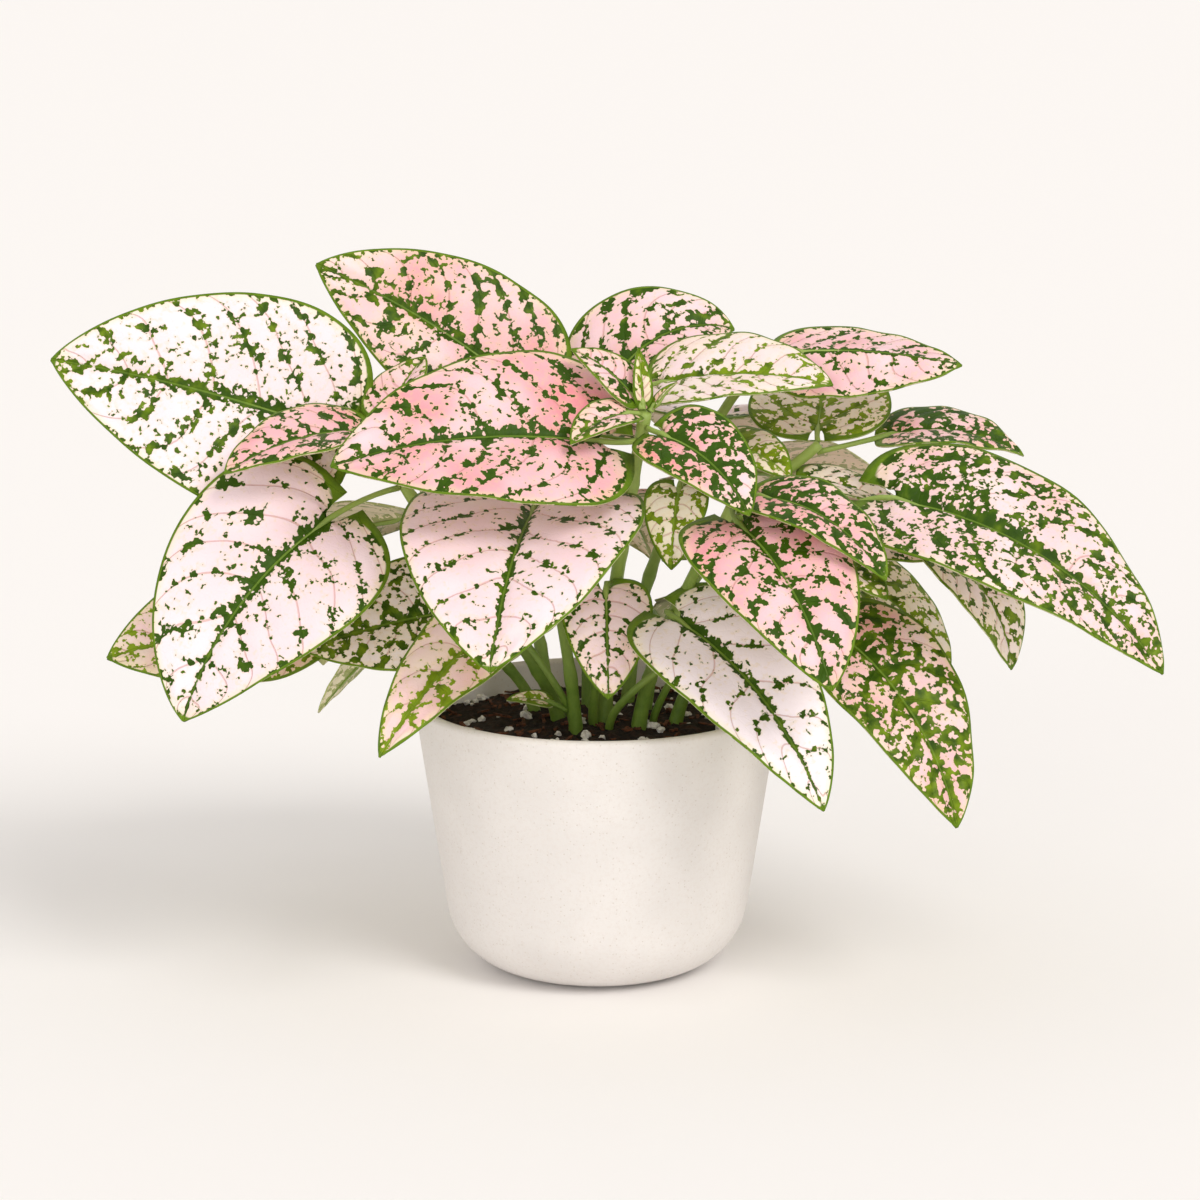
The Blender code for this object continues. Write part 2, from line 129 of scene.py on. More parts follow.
# Each leaf: its stem and how far up it; the stalk's heading and climb at the stem, and its length;
# the blade's heading, its slope at the base and at the tip, its length and width; and how far the
# blade is rolled about its midrib and its two halves are folded up. Headings are degrees from +X
# toward +Y, slopes are degrees above level.
LEAVES = {
    "leaf_far_left": ("stem_left", 1.0, 148, -26, 14, 181, 20, 9, 78, 64, -66, 12),
    "leaf_left_front": ("stem_left", .85, 222, -3, 24, 210, -27, -71, 70, 59, -45, 12),
    "leaf_left_inner": ("stem_left", .99, 240, 20, 6, 208, 5, -30, 42, 30, -15, 15),
    "leaf_left_young": ("stem_left", 1.0, 40, 50, 3, 60, 45, 25, 24, 20, 0, 30),
    "leaf_left_low": ("stem_low_left", 1.0, 190, -8, 20, 190, -12, -15, 58, 44, -50, 12),
    "leaf_left_under": ("stem_left", .50, 240, -20, 8, 195, -5, -18, 46, 38, -48, 12),
    "leaf_left_tucked": ("stem_low_left", .78, 230, 0, 11, 210, -30, -50, 35, 24, 45, 12),
    "leaf_low_left": ("stem_front", .68, 222, 10, 10, 231, -12, -43, 70, 29, -20, 12),
    "leaf_center_front": ("stem_front", 1.0, 200, 10, 4, 259, -8, -52, 68, 68, 0, 14),
    "leaf_center_low": ("stem_center", .52, 240, 20, 6, 272, -35, -75, 33, 26, 0, 12),
    "leaf_low_white": ("stem_right_front", .57, 240, 25, 14, 313, -15, -60, 73, 40, 24, 12),
    "leaf_right_front": ("stem_right_front", 1.0, 265, -20, 8, 300, -15, -62, 61, 44, 15, 12),
    "leaf_right_shoulder": ("stem_right_front", 1.0, 325, 50, 8, 320, 5, -50, 48, 25, 15, 12),
    "leaf_low_right": ("stem_right_low", .72, 330, -15, 23, 320, -25, -75, 66, 40, 20, 12),
    "leaf_right_behind": ("stem_right", .60, 345, 10, 36, 350, -20, -60, 42, 32, 20, 12),
    "leaf_right_wedge": ("stem_right_low", .88, 270, 20, 8, 322, 0, -40, 26, 20, 10, 12),
    "leaf_far_right": ("stem_right_low", 1.0, 352, 58, 22, 339, -5, -54, 91, 50, 30, 14),
    "leaf_right_hidden": ("stem_right_low", .95, 40, 20, 38, 335, -30, -85, 40, 34, 10, 12),
    "leaf_right_crest": ("stem_right", .98, 15, 10, 22, 352, 16, -32, 39, 30, 12, 12),
    "leaf_top_right": ("stem_back_right", 1.0, 330, 30, 6, 350, 5, -12, 49, 38, 30, -30),
    "leaf_top_pale": ("stem_top", 1.0, 318, 30, 26, 345, 15, -12, 49, 42, 20, 16),
    "leaf_top_left": ("stem_top", 1.0, 190, 5, 17, 174, 39, 22, 68, 50, -55, 14),
    "leaf_top_mid": ("stem_top", .97, 50, 30, 12, 15, 62, -18, 43, 41, 40, 14),
    "leaf_top_center": ("stem_center", .93, 228, 0, 11.5, 191, 10, -17, 74, 58, -38, 14),
    "leaf_apex_left": ("stem_center", 1.0, 218, 15, 4, 222, 5, -38, 22, 15, -20, 20),
    "leaf_apex_back": ("stem_center", 1.0, 125, 60, 4, 165, 50, 20, 22, 15, -30, 20),
    "leaf_apex_right": ("stem_center", .97, 305, -10, 6, 322, -8, -58, 36, 29, 25, 16),
    "leaf_mid_oval": ("stem_right", .70, 235, 15, 11, 350, 15, -30, 24, 20, 30, 12),
    "leaf_mid_green": ("stem_back_right", .70, 265, 35, 17, 315, 10, -35, 30, 20, 20, 12),
    "leaf_right_erect": ("stem_right", 1.0, 95, 25, 5, 82, 30, 15, 40, 42, 0, 12),
    "leaf_right_shade": ("stem_right", .88, 310, 0, 8, 5, -5, -40, 34, 24, 10, 12),
    "leaf_right_mid": ("stem_right", .72, 350, 0, 12, 355, -3, -22, 48, 28, 30, 12),
    "leaf_center_back": ("stem_back_right", .66, 250, 10, 12, 260, -30, -85, 26, 19, 0, 12),
    "leaf_soil_right": ("stem_right_low", .42, 275, 0, 4, 292, -20, -50, 20, 18, 20, 12),
    "leaf_mid_left": ("stem_left", .74, 320, 10, 4, 340, 0, -35, 26, 24, 30, 12),
    "leaf_back_left_far": ("stem_back_left", 1.0, 160, 20, 12, 155, 12, -40, 78, 52, 25, 12),
    "leaf_back_left_near": ("stem_back_left", .95, 70, 0, 12, 90, -12, -58, 74, 50, 0, 12),
    "leaf_back_left_low": ("stem_back_left", .5, 130, 0, 10, 125, -25, -65, 62, 44, 15, 12),
    "leaf_back_right_far": ("stem_back_right", .64, 60, 10, 12, 42, 0, -48, 78, 52, -20, 12),
    "leaf_back_right_near": ("stem_back_right", .78, 100, 10, 10, 85, 0, -55, 74, 50, 0, 12),
    "leaf_back_right_low": ("stem_back_right", .32, 75, 10, 10, 75, -20, -62, 64, 46, -15, 12),
    "leaf_back_top": ("stem_top", .9, 90, 20, 12, 110, 10, -40, 76, 54, 20, 12),
    "leaf_back_mid": ("stem_top", .72, 80, 10, 10, 72, -5, -50, 66, 46, 0, 12),
    "leaf_right_back": ("stem_back_right", .45, 20, 0, 14, 20, -5, -50, 62, 44, -10, 12),
    "leaf_left_back": ("stem_left", .75, 110, -10, 10, 140, -10, -45, 60, 42, 15, 12),
    "leaf_low_back_left": ("stem_low_left", .9, 110, 0, 9, 120, -10, -60, 56, 40, 10, 12),
    "leaf_low_back_right": ("stem_right_low", .6, 40, 0, 10, 50, -15, -60, 56, 40, -10, 12),
}

# How each leaf is coloured: pink, cream, green cover and how lime its green is, each from 0 to 1
TONES = {
    "leaf_far_left": (.16, .04, .56, .45), "leaf_left_front": (.26, .00, .38, .20),
    "leaf_left_inner": (.85, .10, .55, .15), "leaf_left_young": (.80, .30, .40, .50),
    "leaf_left_low": (.75, .70, .62, .85), "leaf_left_under": (.00, .55, .72, .50),
    "leaf_left_tucked": (.10, .40, .60, .40), "leaf_low_left": (.65, .60, .48, .90),
    "leaf_center_front": (.32, .22, .32, .30), "leaf_center_low": (.34, .20, .24, .10),
    "leaf_low_white": (.00, .00, .24, .30), "leaf_right_front": (.78, .15, .62, .05),
    "leaf_right_shoulder": (.90, .15, .78, .05), "leaf_low_right": (.66, .30, .85, .55),
    "leaf_right_behind": (.15, .80, .62, .80), "leaf_right_wedge": (.30, .70, .70, .60),
    "leaf_far_right": (.48, .20, .78, .40), "leaf_right_hidden": (.20, .60, .55, .60),
    "leaf_right_crest": (.70, .20, .80, .20), "leaf_top_right": (.68, .25, .42, .20),
    "leaf_top_pale": (.34, .55, .45, .80), "leaf_top_left": (.72, .42, .68, .40),
    "leaf_top_mid": (.62, .15, .58, .25), "leaf_top_center": (.88, .10, .60, .05),
    "leaf_apex_left": (.85, .50, .50, .40), "leaf_apex_back": (.85, .30, .42, .30),
    "leaf_apex_right": (1.0, .10, .80, .05), "leaf_mid_oval": (.60, .20, .40, .15),
    "leaf_mid_green": (.30, .80, .70, .90), "leaf_right_erect": (.20, .80, .62, 1.0),
    "leaf_right_shade": (.15, .60, .40, .50), "leaf_right_mid": (.50, .20, .55, .30),
    "leaf_center_back": (.00, 1.0, .30, .90), "leaf_soil_right": (.00, .70, .75, .70),
    "leaf_mid_left": (.75, .30, .50, .20), "leaf_back_left_far": (.20, .10, .50, .30),
    "leaf_back_left_near": (.40, .10, .45, .20), "leaf_back_left_low": (.60, .40, .75, .60),
    "leaf_back_right_far": (.65, .20, .55, .20), "leaf_back_right_near": (.15, .20, .40, .40),
    "leaf_back_right_low": (.50, .50, .85, .60), "leaf_back_top": (.75, .10, .50, .10),
    "leaf_back_mid": (.60, .30, .60, .30), "leaf_right_back": (.55, .20, .65, .30),
    "leaf_left_back": (.25, .40, .45, .40), "leaf_low_back_left": (.55, .50, .80, .70),
    "leaf_low_back_right": (.60, .40, .70, .50),
}

# The smallest leaves, which have no solid: their tone, then the values of a leaf's row
YOUNG_LEAVES = {
    "bud_center": ((.7, .9, .3, .9), "stem_center", 1.0, 100, 70, 2, 105, 82, 62, 15, 7, 0, 35),
    "bud_center_right": ((.9, .5, .4, .7), "stem_center", 1.0, 20, 50, 2, 20, 60, 25, 9, 5, 0, 35),
    "bud_left": ((.6, .8, .4, .9), "stem_left", 1.0, 300, 30, 2, 300, 45, 15, 10, 6, 0, 30),
    "bud_front": ((.8, .4, .4, .8), "stem_front", 1.0, 20, 50, 2, 60, 60, 40, 8, 4, 0, 30),
    "young_soil": ((.1, .9, .5, 1.0), "stem_front", .24, 190, 35, 6, 180, 20, -15, 12, 8, -20, 15),
    "young_inner": ((.1, .9, .3, .9), "stem_center", .80, 190, 10, 3, 215, -40, -75, 14, 7, 0, 25),
}

# Thin shoots low between the stems, which have no solid: radius, then route
SHOOTS = {
    "shoot_front": (1.3, (3, -12, 66), (4, -17, 76), (9, -22, 84), (19, -25, 94), (26, -25, 104)),
    "shoot_left": (1.2, (-6, -8, 66), (-8, -15, 78), (-14, -19, 90), (-24, -18, 104)),
    "shoot_middle": (1.5, (-1, -6, 66), (-1, -13, 80), (1, -18, 98), (3, -20, 116)),
    "shoot_right": (1.2, (15, -3, 66), (17, -12, 78), (24, -17, 92), (36, -17, 106)),
}


def mix(first, last, part):
    return first + (last - first) * part


def direction(climb, heading):
    climb, heading = math.radians(climb), math.radians(heading)
    level = math.cos(climb)
    return Vector((level * math.cos(heading), level * math.sin(heading), math.sin(climb)))


# Shader maths


class Value:
    """A node's output, so that shader maths reads as an expression."""

    def __init__(self, finish, socket):
        self.finish, self.socket = finish, socket

    def math(self, operation, *values):
        return self.finish.node("ShaderNodeMath", {"operation": operation}, values)

    def __add__(self, other):
        return self.math("ADD", self, other)

    def __radd__(self, other):
        return self.math("ADD", other, self)

    def __sub__(self, other):
        return self.math("SUBTRACT", self, other)

    def __rsub__(self, other):
        return self.math("SUBTRACT", other, self)

    def __mul__(self, other):
        return self.math("MULTIPLY", self, other)

    def __rmul__(self, other):
        return self.math("MULTIPLY", other, self)

    def __truediv__(self, other):
        return self.math("DIVIDE", self, other)

    def __abs__(self):
        return self.math("ABSOLUTE", self)

    def larger(self, other):
        return self.math("MAXIMUM", self, other)

    def wave(self):
        """0 at whole numbers, 0.5 halfway between them."""
        return abs(self - self.math("ROUND", self))

    def rising(self, low, high):
        """0 below low and 1 above high, with a soft step between; the other way if low > high."""
        ends = {"From Min": low, "From Max": high, "To Min": 0.0, "To Max": 1.0}
        if low > high:
            ends = {"From Min": high, "From Max": low, "To Min": 1.0, "To Max": 0.0}
        setting = {"interpolation_type": "SMOOTHSTEP"}
        return self.finish.node("ShaderNodeMapRange", setting, {"Value": self, **ends})


class Finish:
    """A material under construction."""

    def __init__(self, name):
        self.material = bpy.data.materials.new(name)
        self.material.use_nodes = True
        self.tree = self.material.node_tree
        self.shader = self.tree.nodes["Principled BSDF"]

    def node(self, kind, settings, values, output=0):
        """Adds a node. Its values are a list in socket order, or a dict by name or number."""
        made = self.tree.nodes.new(kind)
        for name, setting in settings.items():
            setattr(made, name, setting)
        pairs = values.items() if isinstance(values, dict) else enumerate(values)
        for key, value in pairs:
            if isinstance(value, Value):
                self.tree.links.new(value.socket, made.inputs[key])
            else:
                made.inputs[key].default_value = value
        return Value(self, made.outputs[output])

    def attribute(self, name):
        return self.node("ShaderNodeAttribute", {"attribute_name": name}, {}, "Vector")

    def split(self, vector):
        """The vector's three parts."""
        return [self.node("ShaderNodeSeparateXYZ", {}, [vector], axis) for axis in range(3)]

    def join(self, *numbers):
        return self.node("ShaderNodeCombineXYZ", {}, numbers)

    def place(self):
        """The place on the object, in millimetres."""
        meters = self.node("ShaderNodeTexCoord", {}, {}, "Object")
        setting = {"operation": "SCALE"}
        return self.node("ShaderNodeVectorMath", setting, {0: meters, "Scale": 1 / MM})

    def noise(self, vector, scale, detail=2.0, roughness=0.5):
        """Soft noise around 0.5, with a scale in lumps for each millimetre."""
        values = {"Vector": vector, "Scale": scale, "Detail": detail, "Roughness": roughness}
        return self.node("ShaderNodeTexNoise", {}, values, "Fac")

    def cells(self, vector, scale, output, feature="F1"):
        """Cells with a scale in cells for each millimetre."""
        values = {"Vector": vector, "Scale": scale}
        return self.node("ShaderNodeTexVoronoi", {"feature": feature}, values, output)

    def blend(self, share, first, last):
        """A colour that goes from the first to the last as the share goes from 0 to 1."""
        values = {"Factor": share, 6: first, 7: last}
        return self.node("ShaderNodeMix", {"data_type": "RGBA"}, values, 2)

    def bump(self, height, depth):
        """A surface raised by the height, times a depth in millimetres."""
        values = {"Height": height, "Distance": depth * MM, "Strength": 1.0}
        return self.node("ShaderNodeBump", {}, values)

    def finish(self, color, roughness, normal=None, constants=None):
        """Joins the shader up and gives the finished material."""
        varying = {"Base Color": color, "Roughness": roughness, "Normal": normal}
        for name, value in varying.items():
            if isinstance(value, Value):
                self.tree.links.new(value.socket, self.shader.inputs[name])
            elif value is not None:
                self.shader.inputs[name].default_value = value
        for name, value in (constants or {}).items():
            self.shader.inputs[name].default_value = value
        return self.material


def shade(red, green, blue):
    """A colour from its display values, 0 to 255."""
    return (*(pow(value / 255, 2.2) for value in (red, green, blue)), 1.0)


# A leaf's colours: its ground, what tints the ground, then its greens
MILKY, PINK, CREAM = shade(249, 237, 241), shade(236, 134, 143), shade(251, 241, 210)
MARGIN_YELLOW, SPOT_HALO = shade(238, 230, 164), shade(232, 206, 140)
VEIN_ROSE = shade(205, 140, 128)
SHADE_GREEN, DEEP_GREEN, LIME_GREEN = shade(36, 60, 4), shade(70, 102, 10), shade(130, 154, 30)
RIB_GREEN = shade(128, 158, 62)


def leaf_pattern(skin):
    """Where the leaf is green, how nearly it is, its rim, and its own flat coordinates."""
    _, along, vein = skin.split(skin.attribute("leaf_place"))
    side, span, to_margin = skin.split(skin.attribute("leaf_flat"))
    _, _, green = skin.split(skin.attribute("leaf_tone"))
    seed, _, size = skin.split(skin.attribute("leaf_kind"))
    sheet = skin.join(side, span, seed)
    off_rib = abs(side)
    off_vein = vein.wave() * size * VEIN_PITCH
    blob = skin.noise(sheet, 0.48, 1.5, 0.6) - 0.5
    island = skin.noise(sheet, 0.09, 1.0) - 0.5
    jagged = skin.split(skin.cells(sheet, 0.95, "Color"))[0] - 0.5
    bead = skin.noise(skin.join(side, span, seed + 31.0), 0.17, 1.0) - 0.5

    # Each of these is above zero where green gathers: midrib, side veins, margin, loose patches
    rib_width = size * 0.042 * (1.15 - along) * (0.6 + green)
    rib = 1.15 - off_rib / rib_width
    side_vein = green * 0.96 - off_vein * 0.21 + bead * 2.7
    margin = 0.40 + green * 0.45 - to_margin * 0.34 + bead * 1.8
    scatter = green * green * 1.05 - 0.46 + island * 1.3
    cover = rib.larger(side_vein).larger(margin).larger(scatter)
    cover = cover + blob * 3.4 + jagged * 0.42  # broken up into ragged spots
    spots = cover.rising(0.36, 0.46)
    edge = to_margin.rising(0.95, 0.65)
    return spots, cover, edge, sheet


def leaf_skin(name, under):
    """The blade's skin, on its face or on its duller underside."""
    skin = Finish(name)
    _, along, vein = skin.split(skin.attribute("leaf_place"))
    side, _, to_margin = skin.split(skin.attribute("leaf_flat"))
    pink, cream, _ = skin.split(skin.attribute("leaf_tone"))
    _, lime, size = skin.split(skin.attribute("leaf_kind"))
    spots, cover, edge, sheet = leaf_pattern(skin)
    cloud = skin.noise(sheet, 0.045, 2.0)
    vein_line = (vein.wave() * size * VEIN_PITCH).rising(0.36, 0.12)
    rib_line = abs(side).rising(0.42, 0.22)

    # The ground: white to pink, with cream clouds and yellower near the margin and the spots
    flush = pink * (0.72 + (cloud - 0.5) * 1.5 + (0.4 - along) * 0.3)
    base = skin.blend(flush, MILKY, PINK)
    cream_cloud = skin.noise(sheet, 0.08, 1.0)
    yellow = (cream * 1.3 + (cream_cloud - 0.5) * 1.2 - 0.25).rising(0.0, 1.2)
    base = skin.blend(yellow * 0.75, base, CREAM)
    base = skin.blend(to_margin.rising(3.5, 0.6) * 0.35, base, MARGIN_YELLOW)
    halo = cover.rising(-0.25, 0.40)
    base = skin.blend(halo * 0.26, base, SPOT_HALO)
    base = skin.blend(vein_line * 0.5, base, VEIN_ROSE)

    # The green: dark to lime, with a paler midrib line and a rim
    leafy = skin.noise(sheet, 0.25, 2.0)
    bright = (lime * 1.1 - 0.45 + along * 0.35 + (leafy - 0.5) * 1.6).rising(0.0, 1.0)
    dark = skin.blend(leafy, SHADE_GREEN, DEEP_GREEN)
    leaf_green = skin.blend(bright, dark, LIME_GREEN)
    color = skin.blend(spots, base, leaf_green)
    color = skin.blend(rib_line * 0.7 * (1.1 - along), color, RIB_GREEN)
    rim = skin.blend(leafy, shade(70, 102, 18), shade(122, 150, 40))
    color = skin.blend(edge, color, rim)
    if under:  # the pattern shows through, paler
        pale = skin.blend(spots * 0.6, shade(244, 238, 198), shade(150, 170, 60))
        pale = skin.blend(pink * 0.35, pale, shade(222, 178, 168))
        color = skin.blend(0.72, color, pale)
        color = skin.blend(vein_line * 0.4, color, shade(168, 180, 110))

    # The relief: a net of fine veins, grain, and the sunken veins and midrib
    mesh_veins = skin.cells(sheet, 0.42, "Distance", "DISTANCE_TO_EDGE").rising(0.0, 0.12)
    grain = skin.noise(sheet, 2.4, 2.0)
    height = mesh_veins * 0.10 + grain * 0.14 - vein_line * 0.45 - rib_line * 0.5
    if under:
        height = 0 - height
    roughness = 0.50 - spots * 0.06 + (grain - 0.5) * 0.16
    normal = skin.bump(height, 0.30)
    return skin.finish(color, roughness, normal, {"Specular IOR Level": 0.16})


def stalk_skin():
    """Stems and leaf stalks: fresh green, paler and streaked along the grain."""
    skin = Finish("stem_green")
    place = skin.place()
    streak = skin.noise(place, 0.35, 3.0)
    patch = skin.noise(place, 0.06, 1.0)
    height = skin.split(place)[2]
    young = (height / 170 + (patch - 0.5) * 0.9).rising(0.35, 1.0)
    color = skin.blend(streak, shade(84, 118, 36), shade(128, 156, 62))
    color = skin.blend(young, color, shade(150, 172, 84))
    fine = skin.noise(place, 1.8, 2.0)
    return skin.finish(color, 0.42 + fine * 0.12, skin.bump(fine, 0.15))


def ware_skin():
    """Matt ivory ware, mottled and finely speckled."""
    ware = Finish("ivory_ware")
    place = ware.place()
    mottle = ware.noise(place, 0.05, 2.0)
    fine = ware.noise(place, 0.9, 4.0, 0.7)
    grit = ware.cells(place, 1.1, "Distance")
    picked = ware.split(ware.cells(place, 1.1, "Color"))[0]
    speck = grit.rising(0.30, 0.12) * picked.rising(0.55, 0.9)
    color = ware.blend(mottle.rising(0.2, 0.8), shade(225, 220, 216), shade(232, 227, 223))
    color = ware.blend(fine.rising(0.45, 0.7) * 0.4, color, shade(221, 212, 205))
    color = ware.blend(speck * 0.5, color, shade(196, 182, 168))
    height = fine * 0.5 - speck * 0.6 + mottle * 0.8
    return ware.finish(color, 0.50 + fine * 0.16, ware.bump(height, 0.12))


def soil_skin():
    """Moist peat, nearly black, with reddish fibre."""
    peat = Finish("potting_soil")
    place = peat.place()
    crumb = peat.noise(place, 0.5, 5.0, 0.7)
    fibre = peat.noise(place, 0.22, 3.0, 0.6)
    color = peat.blend(crumb.rising(0.35, 0.75), shade(20, 13, 9), shade(58, 38, 26))
    color = peat.blend(fibre.rising(0.56, 0.7) * 0.6, color, shade(84, 48, 28))
    return peat.finish(color, 0.85 + crumb * 0.1, peat.bump(crumb, 0.8))


def grain_skin(name, dark, light, roughness):
    """Loose bits in the soil."""
    bit = Finish(name)
    place = bit.place()
    pore = bit.noise(place, 0.9, 4.0, 0.7)
    color = bit.blend(pore.rising(0.32, 0.62), dark, light)
    return bit.finish(color, roughness + pore * 0.1, bit.bump(pore, 0.4))


# Meshes


def ride_as(name, mesh, slot, finishes, *nodes):
    """A finished piece on the plant's one body, standing for its CAD nodes."""
    mesh.transform(Matrix.Scale(MM, 4))
    piece = bpy.data.objects.new(name, mesh)
    bpy.context.scene.collection.objects.link(piece)
    for finish in finishes:
        mesh.materials.append(finish)
    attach(piece, "root")
    if nodes:
        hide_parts(*nodes)


def mesh_from(shape, name, smooth=True):
    """The edited shape as a mesh of its own, shaded smooth or faceted."""
    mesh = bpy.data.meshes.new(name)
    for face in shape.faces:
        face.smooth = smooth
    shape.to_mesh(mesh)
    shape.free()
    return mesh


def tube(points, radii, sides):
    """A round tube with closed ends along the points, as a mesh in millimetres."""
    curve = bpy.data.curves.new("tube", "CURVE")
    curve.dimensions = "3D"
    curve.bevel_depth = 1.0
    curve.bevel_resolution = sides // 2 - 2
    curve.use_fill_caps = True
    spline = curve.splines.new("POLY")
    spline.points.add(len(points) - 1)
    for knot, point, radius in zip(spline.points, points, radii):
        knot.co, knot.radius = (*point, 1), radius
    holder = bpy.data.objects.new("tube", curve)
    bpy.context.scene.collection.objects.link(holder)
    bpy.context.view_layer.update()
    evaluated = holder.evaluated_get(bpy.context.evaluated_depsgraph_get())
    mesh = bpy.data.meshes.new_from_object(evaluated)
    bpy.data.objects.remove(holder)
    return mesh


def welded(shape):
    """Closes a shape's open seams and turns its faces outwards."""
    bmesh.ops.remove_doubles(shape, verts=shape.verts, dist=0.001)
    bmesh.ops.recalc_face_normals(shape, faces=shape.faces)
    return shape


def welded_tube(points, radii, sides):
    """A closed round tube along the points, open to further editing."""
    mesh = tube(points, radii, sides)
    shape = bmesh.new()
    shape.from_mesh(mesh)
    bpy.data.meshes.remove(mesh)
    return welded(shape)


def smooth_route(points, steps):
    """Points along a smooth curve through a stem's route (Catmull-Rom)."""
    knots = [Vector(point) for point in points]
    knots = [2 * knots[0] - knots[1], *knots, 2 * knots[-1] - knots[-2]]
    route = []
    for a, b, c, d in zip(knots, knots[1:], knots[2:], knots[3:]):
        for step in range(steps):
            t = step / steps
            bend = (c - a) * t + (2 * a - 5 * b + 4 * c - d) * t**2 + (3 * b - a - 3 * c + d) * t**3
            route.append(b + 0.5 * bend)
    return route + [knots[-2]]


def stem_place(name, part):
    """The point at a part of a stem's length, the stem's direction there and its radius."""
    radius, *points = STEMS[name]
    route = smooth_route(points, ROUTE_STEPS)
    lengths = [(b - a).length for a, b in zip(route, route[1:])]
    left = part * sum(lengths)
    piece = 0
    while piece < len(lengths) - 1 and left > lengths[piece]:
        left -= lengths[piece]
        piece += 1
    place = route[piece].lerp(route[piece + 1], left / lengths[piece])
    growth = (route[piece + 1] - route[piece]).normalized()
    return place, growth, radius * (1 - STEM_TAPER * part)


def walk(start, length, climbs, headings, steps):
    """Points, climbs and headings along a line that bends evenly from the first to the last."""
    point = start.copy()
    path = [(point.copy(), climbs[0], headings[0])]
    for step in range(steps):
        middle, end = (step + 0.5) / steps, (step + 1) / steps
        point += direction(mix(*climbs, middle), mix(*headings, middle)) * (length / steps)
        path.append((point.copy(), mix(*climbs, end), mix(*headings, end)))
    return path


def on_path(path, part):
    """The place, climb and heading at a part of a walked line."""
    place = part * (len(path) - 1)
    index = min(int(place), len(path) - 2)
    (p, climb, heading), (q, next_climb, next_heading) = path[index], path[index + 1]
    share = place - index
    return p.lerp(q, share), mix(climb, next_climb, share), mix(heading, next_heading, share)


def outline(part):
    """The blade's half width at a part of its length, from 0 to 1."""
    widest = SHAPE_BASE / (SHAPE_BASE + SHAPE_TIP)
    peak = widest**SHAPE_BASE * (1 - widest) ** SHAPE_TIP
    return part**SHAPE_BASE * (1 - part) ** SHAPE_TIP / peak


def stalk_and_spine(leaf):
    """The stalk's line and the blade's midrib."""
    start, growth, radius = stem_place(leaf.stem, leaf.at)
    leaving = direction(leaf.climb, leaf.toward)
    outward = (leaving - growth * leaving.dot(growth)).normalized()
    start += outward * (radius + GAP)
    turn = (leaf.heading - leaf.toward + 180) % 360 - 180
    headings = (leaf.toward, leaf.toward + turn)
    stalk = walk(start, leaf.stalk, (leaf.climb, leaf.rise), headings, STALK_STEPS)
    slopes, blade_headings = (leaf.rise, leaf.fall), (leaf.heading, leaf.heading)
    return stalk, walk(stalk[-1][0], leaf.length, slopes, blade_headings, SPINE_STEPS)


class Blade:
    """A leaf's blade: places on its skin, by the part of its length and of its half width."""

    def __init__(self, leaf, spine, seed):
        self.leaf, self.spine, self.seed = leaf, spine, seed
        self.size = leaf.length / FULL_LEAF  # how its relief compares with a full-grown leaf's

    def axes(self, part):
        """The midrib's place, and the directions along it, across the blade and off its face."""
        point, climb, heading = on_path(self.spine, part)
        along = direction(climb, heading)
        turn = math.radians(heading)
        side = Vector((-math.sin(turn), math.cos(turn), 0))
        face = along.cross(side)
        roll = math.radians(self.leaf.roll)
        across = side * math.cos(roll) + face * math.sin(roll)
        return point, along, across, face * math.cos(roll) - side * math.sin(roll)

    def half_width(self, part):
        """Half the blade's width, kept open round the stalk at the base."""
        notch = self.leaf.length * NOTCH * (1 - part) ** 8
        full = self.leaf.width / 2 * outline(part)
        return max(full, STALK_WIDTH / 2 * (1 - part) + notch + 0.25)

    def back(self, across, part):
        """How far the base lobes reach back behind the stalk."""
        return self.leaf.length * LOBE * across**4 * (1 - part) ** 2

    def vein(self, across, part):
        """Whole numbers lie on the side veins."""
        reach = abs(across)
        wobble = 0.4 * noise.noise(Vector((across * 1.6, part * 3, self.seed)))
        off_rib, span, _ = self.flat(reach, part)
        along = (span - off_rib * VEIN_LEAN) / self.leaf.length
        return (along - VEIN_SWEEP * reach**3) / VEIN_PITCH + 0.55 + wobble

    def relief(self, across, part):
        """How far the skin stands above the plain sheet: quilted between sunken veins."""
        reach = abs(across)
        off_rib = reach * self.half_width(part)
        swell = abs(math.sin(math.pi * self.vein(across, part))) ** 0.7
        inner = min(1.0, off_rib / 2.5) * max(0.0, 1 - reach**4)
        quilt = QUILT * swell * inner
        groove = -GROOVE * math.exp(-((off_rib / 1.3) ** 2)) * (1 - part)
        hem = Vector((part * 5.0, 3.0 if across > 0 else 9.0, self.seed))
        ends = min(1.0, part * 5) * min(1.0, (1 - part) * 5)
        ripple = RIPPLE * reach**3 * noise.noise(hem) * ends
        dimple = DIMPLE * noise.noise(Vector((across * 3, part * 6, self.seed + 5)))
        return self.size * (quilt + groove + ripple + dimple * inner)

    def place(self, across, part):
        """The place of the skin, folded, bent and in relief."""
        point, along, side, face = self.axes(part)
        fold = math.radians(self.leaf.fold)
        half = self.half_width(part)
        lift = math.sin(fold) * (abs(across) - across**2 / 2) * half + self.relief(across, part)
        back = self.back(across, part)
        return point + side * across * math.cos(fold) * half + face * lift - along * back

    def flat(self, across, part):
        """The same place on the blade laid flat: across it, along it, and in from its margin."""
        half = self.half_width(part)
        inward = (1 - abs(across)) * half
        tip = (1 - part) * self.leaf.length * 0.5
        return across * half, part * self.leaf.length - self.back(across, part), min(inward, tip)


